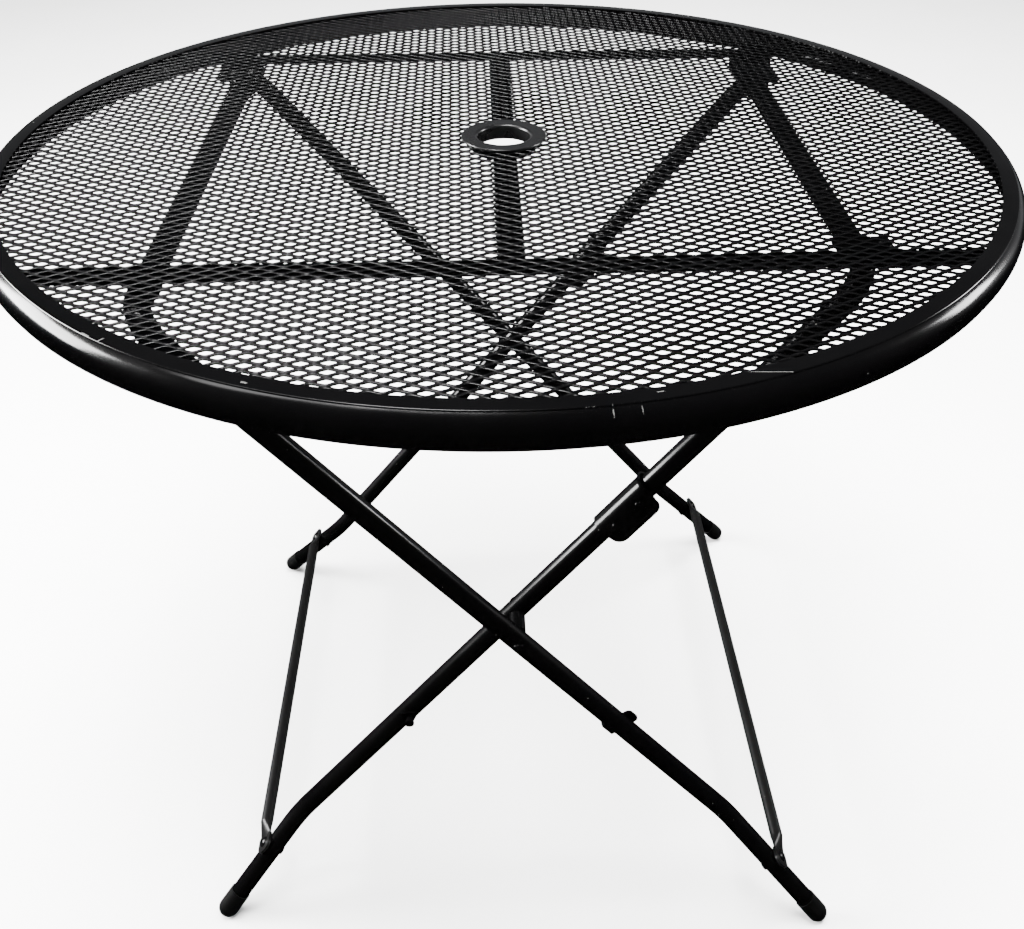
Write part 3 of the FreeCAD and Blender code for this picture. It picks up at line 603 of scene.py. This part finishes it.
# %% [markdown]
# The locking knuckle of each inner leg is a pressed channel that turns on two rivets, and the
# legs cross on pivot bolts. On the real table the heads are small and low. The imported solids
# have taller heads and nuts. So the pins are turned again here from a low dome, which takes
# fewer faces than a cut sphere. They are set out in a flat leg frame: x down the leg from the
# crossing, y across, z out. That is how a maker would measure them.

# %% A place on a leg, from the flat leg frame
leg_angle = math.radians(50.791)
crossing_height = 385.58 * MM
tube_radius = 9.5 * MM
outer_half_width = 265.0 * MM
inner_half_width = 226.0 * MM
OUTER, INNER = 1, -1


def on_leg(x, y, z, facing):
    """The inner frame faces the other way, so its x and y turn round."""
    return (facing * (x * math.cos(leg_angle) + z * math.sin(leg_angle)), facing * y,
            crossing_height - x * math.sin(leg_angle) + z * math.cos(leg_angle))


# %% A pin with a low domed head
around, dome_steps = 32, 8
shank_radius = 4.0 * MM


def dome_profile(head_radius, head_height, seat, end, outward):
    """Steps along y with their radius, from the top of a low dome to the shank's end."""
    steps = []
    for step in range(dome_steps + 1):
        turn = math.pi / 2 * step / dome_steps
        steps.append((seat + outward * head_height * math.cos(turn),
                      head_radius * math.sin(turn)))
    return steps + [(seat, shank_radius), (end, shank_radius)]


def add_pin(profile, x, z, facing, points, faces):
    """Rings of points about a line along y, closed at both ends."""
    first = len(points)
    for y, radius in profile:
        for k in range(around):
            angle = 2 * math.pi * k / around
            points.append(on_leg(x + radius * math.cos(angle), y, z + radius * math.sin(angle),
                                 facing))
    for ring in range(len(profile) - 1):
        for k in range(around):
            a, b = first + ring * around + k, first + ring * around + (k + 1) % around
            faces.append((a, b, b + around, a + around))
    last = first + (len(profile) - 1) * around
    faces.append(tuple(range(first, first + around)))
    faces.append(tuple(range(last, last + around)))


# %% Knuckle rivets
knuckle_gap, knuckle_sheet = 0.5 * MM, 1.5 * MM
knuckle_inside = tube_radius + knuckle_gap
knuckle_outside = knuckle_inside + knuckle_sheet
rivet_radius, rivet_height, rivet_drop = 5.0 * MM, 1.8 * MM, 2.0 * MM
lower_rivet, upper_rivet = -131.4 * MM, -160.1 * MM
for place, side in (("front", 1), ("rear", -1)):
    points, faces = [], []
    middle = side * inner_half_width
    for x in (upper_rivet, lower_rivet):
        for way in (1, -1):
            profile = dome_profile(rivet_radius, rivet_height, middle + way * knuckle_outside,
                                   middle, way)
            add_pin(profile, x, -rivet_drop, INNER, points, faces)
    mesh_piece(place + "_knuckle_low_rivets", points, faces, place + "_knuckle_link",
               "fastener_coat", place + "_knuckle_rivets")
print("knuckle rivets:", len(points), "points on each side")

# %% Crossing bolts and their ends inside the inner legs
bolt_radius, bolt_height = 5.0 * MM, 2.2 * MM
end_radius, end_height = 6.0 * MM, 2.0 * MM
pivot_gap = 0.3 * MM
pivot_tip = inner_half_width + tube_radius + pivot_gap
points, faces = [], []
for side in (-1, 1):
    profile = dome_profile(bolt_radius, bolt_height, side * (outer_half_width + tube_radius),
                           side * pivot_tip, side)
    add_pin(profile, 0.0, 0.0, OUTER, points, faces)
mesh_piece("pivot_low_bolts", points, faces, "outer_legs", "fastener_coat", "pivot_bolts")
for place, side in (("front", 1), ("rear", -1)):
    points, faces = [], []
    profile = dome_profile(end_radius, end_height, side * (inner_half_width - tube_radius),
                           side * (inner_half_width + tube_radius), -side)
    add_pin(profile, 0.0, 0.0, INNER, points, faces)
    mesh_piece(place + "_pivot_low_end", points, faces, "inner_lower_legs", "fastener_coat",
               place + "_pivot_nut")
print("crossing bolts end", round(pivot_tip / MM, 1), "mm from the table's middle plane")

# %% [markdown]
# The knuckle's channel is one sheet, bent round the tube, with rounded cheeks and a flared lip
# at its upper end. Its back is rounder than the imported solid's. Solidify could give the sheet
# its thickness, but it thins a sheet where it flares. So two skins are laid row by row, an outer
# and an inner one, and their edges are joined. A narrow flat stays on the back, where the tube
# ends pass when it folds.

# %% The form of the knuckle channel
knuckle_overhang, knuckle_depth, knuckle_corner = 12.6 * MM, 17.8 * MM, 9.0 * MM
lip_length, lip_rise = 3.7 * MM, 1.5 * MM
back_flat = 1.5 * MM
back_steps, corner_steps = 10, 8


def cheek_depth(from_end):
    """How far a cheek reaches, with its corners rounded at both ends."""
    short = max(knuckle_corner - from_end, 0.0)
    return knuckle_depth - knuckle_corner + math.sqrt(knuckle_corner ** 2 - short ** 2)


def channel_row(x, depth, radius, middle):
    """One U: up one cheek, round the back and down the other cheek."""
    bend = radius - back_flat
    row = [(x, middle - radius, -depth)]
    for way in (-1, 1):
        for step in range(back_steps + 1):
            share = step / back_steps if way < 0 else 1 - step / back_steps
            angle = math.pi / 2 * share
            row.append((x, middle + way * (back_flat + bend * math.cos(angle)),
                        back_flat + bend * math.sin(angle)))
    return row + [(x, middle + radius, -depth)]


def joined_skins(wide, long):
    """Faces of an outer and an inner skin of the same rows, with their edges joined."""
    faces = []
    inner = wide * long
    for row in range(long - 1):
        for k in range(wide - 1):
            a = row * wide + k
            faces.append((a, a + 1, a + 1 + wide, a + wide))
            faces.append((inner + a, inner + a + wide, inner + a + 1 + wide, inner + a + 1))
        for k in (0, wide - 1):
            a = row * wide + k
            faces.append((a, a + wide, inner + a + wide, inner + a))
    for row in (0, long - 1):
        for k in range(wide - 1):
            a = row * wide + k
            faces.append((a, a + 1, inner + a + 1, inner + a))
    return faces


# %% Both knuckle channels
upper_end, lower_end = upper_rivet - knuckle_overhang, lower_rivet + knuckle_overhang
corner_rows = [knuckle_corner * (1 - math.cos(math.pi / 2 * k / corner_steps))
               for k in range(corner_steps + 1)]
stations = [upper_end + d for d in corner_rows] + [lower_end - d for d in reversed(corner_rows)]
for place, side in (("front", 1), ("rear", -1)):
    middle = side * inner_half_width
    skins = []
    for radius in (knuckle_outside, knuckle_inside):
        skins.append(channel_row(upper_end - lip_length, 0.0, radius + lip_rise, middle))
        for x in stations:
            depth = cheek_depth(min(x - upper_end, lower_end - x))
            skins.append(channel_row(x, depth, radius, middle))
    points = [on_leg(*spot, INNER) for row in skins for spot in row]
    faces = joined_skins(len(skins[0]), len(skins) // 2)
    mesh_piece(place + "_knuckle_channel", points, faces, place + "_knuckle_link", "bracket_coat",
               place + "_knuckle")
print("knuckle channel:", round((lower_end - upper_end + lip_length) / MM, 1), "mm long")

# %% [markdown]
# The table stands on a plain pale floor, which isn't part of it. A sheet with a faint tone is
# enough. It is kept out of mirror images, because a gloss black underside would show it as a
# bright band.

# %% Floor
floor_half = 7.0
floor_dark, floor_light = (0.82, 0.82, 0.81, 1.0), (0.9, 0.9, 0.9, 1.0)
floor_roughness = 0.8
tone_scale, tone_detail = 3.0, 6.0
floor_material = bpy.data.materials.new("pale_floor")
floor_material.use_nodes = True
floor_tree = floor_material.node_tree
floor_place = add_node(floor_tree, "ShaderNodeTexCoord").outputs["Object"]
floor_tone = noise(floor_tree, floor_place, tone_scale, tone_detail)
floor_shader = floor_tree.nodes["Principled BSDF"]
feed(floor_tree, floor_shader.inputs["Base Color"],
     mix_colour(floor_tree, floor_tone, floor_dark, floor_light))
floor_shader.inputs["Roughness"].default_value = floor_roughness
floor_mesh = bpy.data.meshes.new("floor")
floor_mesh.from_pydata([(-floor_half, -floor_half, 0), (floor_half, -floor_half, 0),
                        (floor_half, floor_half, 0), (-floor_half, floor_half, 0)],
                       [], [(0, 1, 2, 3)])
floor_mesh.materials.append(floor_material)
floor = bpy.data.objects.new("floor", floor_mesh)
floor.visible_glossy = False
bpy.context.scene.collection.objects.link(floor)
print("floor:", 2 * floor_half, "m square")

# %% [markdown]
# The camera was solved from the photograph: from the rim's ellipses, the leg lines and the
# feet. A small shift puts the picture's middle where the photograph has it.

# %% Camera
photo_width, photo_height = 1024, 929
focal_pixels = 1129.9
middle_pixel = (541.68, 436.51)
sensor_width = 36.0
pitch, yaw, roll = math.radians(35.65), math.radians(3.017), math.radians(0.137)
camera_place = (-0.0166, -0.9564, 1.0985)
camera_data = bpy.data.cameras.new("photo_camera")
camera_data.sensor_fit = "HORIZONTAL"
camera_data.sensor_width = sensor_width
camera_data.lens = focal_pixels * sensor_width / photo_width
camera_data.shift_x = (photo_width / 2 - middle_pixel[0]) / photo_width
camera_data.shift_y = (middle_pixel[1] - photo_height / 2) / photo_width
ahead = Vector((math.sin(yaw) * math.cos(pitch), math.cos(yaw) * math.cos(pitch),
                -math.sin(pitch)))
right = Vector((math.cos(yaw), -math.sin(yaw), 0.0))
above = right.cross(ahead)
rolled_right = math.cos(roll) * right + math.sin(roll) * above
rolled_above = -math.sin(roll) * right + math.cos(roll) * above
turned_to = Matrix((rolled_right, rolled_above, -ahead)).transposed().to_4x4()
camera = bpy.data.objects.new("photo_camera", camera_data)
camera.matrix_world = Matrix.Translation(camera_place) @ turned_to
bpy.context.scene.collection.objects.link(camera)
bpy.context.scene.camera = camera
print("camera lens", round(camera_data.lens, 2), "mm, shift",
      round(camera_data.shift_x, 4), round(camera_data.shift_y, 4))

# %% [markdown]
# Gloss black shows little but what it mirrors, so the lights are placed by its highlights. Each
# place was worked out by reflection: a broad light at the left lies along the rim's band, a small
# one at the right does the same there, and two from above catch the crease and the strands. A
# large soft light gives the floor its tone and is kept out of mirror images, because it would
# wash out the flat ledge.

# %% Lights
def soft_light(name, place, aim, size, power):
    """A flat rectangular light that faces a point."""
    light = bpy.data.lights.new(name, "AREA")
    light.shape = "RECTANGLE"
    light.size, light.size_y = size
    light.energy = power
    lamp = bpy.data.objects.new(name, light)
    lamp.location = place
    lamp.rotation_euler = (Vector(aim) - Vector(place)).to_track_quat("-Z", "Y").to_euler()
    bpy.context.scene.collection.objects.link(lamp)
    print(name, power, "W")
    return lamp


# Place, aim and size in metres, power in watts
overhead = soft_light("overhead", (0.3, 0.2, 3.8), (0.0, 0.0, 0.0), (2.6, 2.6), 1600.0)
overhead.visible_glossy = False
soft_light("roof_window", (-0.62, -0.4, 3.4), (-0.62, -0.4, 0.0), (0.9, 0.5), 180.0)
soft_light("ceiling_strip", (-1.4, -0.4, 3.6), (-1.4, -0.4, 0.0), (2.8, 0.6), 90.0)
soft_light("left_window", (-2.55, 0.3, 1.42), (-0.3, -0.3, 0.73), (1.3, 1.0), 440.0)
soft_light("right_window", (2.4, 0.34, 1.36), (0.3, -0.3, 0.73), (0.6, 0.6), 75.0)

# %% [markdown]
# The far ledge and the far strands have a grey sheen, because they mirror the low sky behind the
# table. The near ledge mirrors the sky overhead and stays black. So the sky is brightest low
# down at the back, and dim overhead, below the floor's edge and in front. The camera itself sees
# a plain pale backdrop past the floor.

# %% Sky
backdrop_strength = 2.0
sky_colour = (0.95, 0.97, 1.0, 1.0)
world = bpy.data.worlds.new("studio")
world.use_nodes = True
sky = world.node_tree
apart = add_node(sky, "ShaderNodeSeparateXYZ")
feed(sky, apart.inputs[0], add_node(sky, "ShaderNodeTexCoord").outputs["Generated"])
direction = apart.outputs


def ramp(value, low, high, at_low, at_high):
    """A smooth change of the sky from one height or side to another."""
    node = add_node(sky, "ShaderNodeMapRange", interpolation_type="SMOOTHSTEP")
    for socket, setting in zip(node.inputs, (value, low, high, at_low, at_high)):
        feed(sky, socket, setting)
    return node.outputs["Result"]


# Limits are parts of a direction that is one long: Z is its height, Y is how far it points back
glow = ramp(direction["Z"], low=0.0, high=0.42, at_low=0.5, at_high=0.05)
over_floor = ramp(direction["Z"], low=-0.12, high=0.02, at_low=0.02, at_high=1.0)
behind = ramp(direction["Y"], low=-0.3, high=0.6, at_low=0.08, at_high=1.0)
mirrored = sums(sky, "MULTIPLY", sums(sky, "MULTIPLY", glow, over_floor), behind)
seen = add_node(sky, "ShaderNodeLightPath").outputs["Is Camera Ray"]
background = sky.nodes["Background"].inputs
brighter = sums(sky, "SUBTRACT", backdrop_strength, mirrored)
feed(sky, background["Strength"], sums(sky, "MULTIPLY_ADD", seen, brighter, mirrored))
background["Color"].default_value = sky_colour
bpy.context.scene.world = world
print("sky:", len(sky.nodes), "nodes")
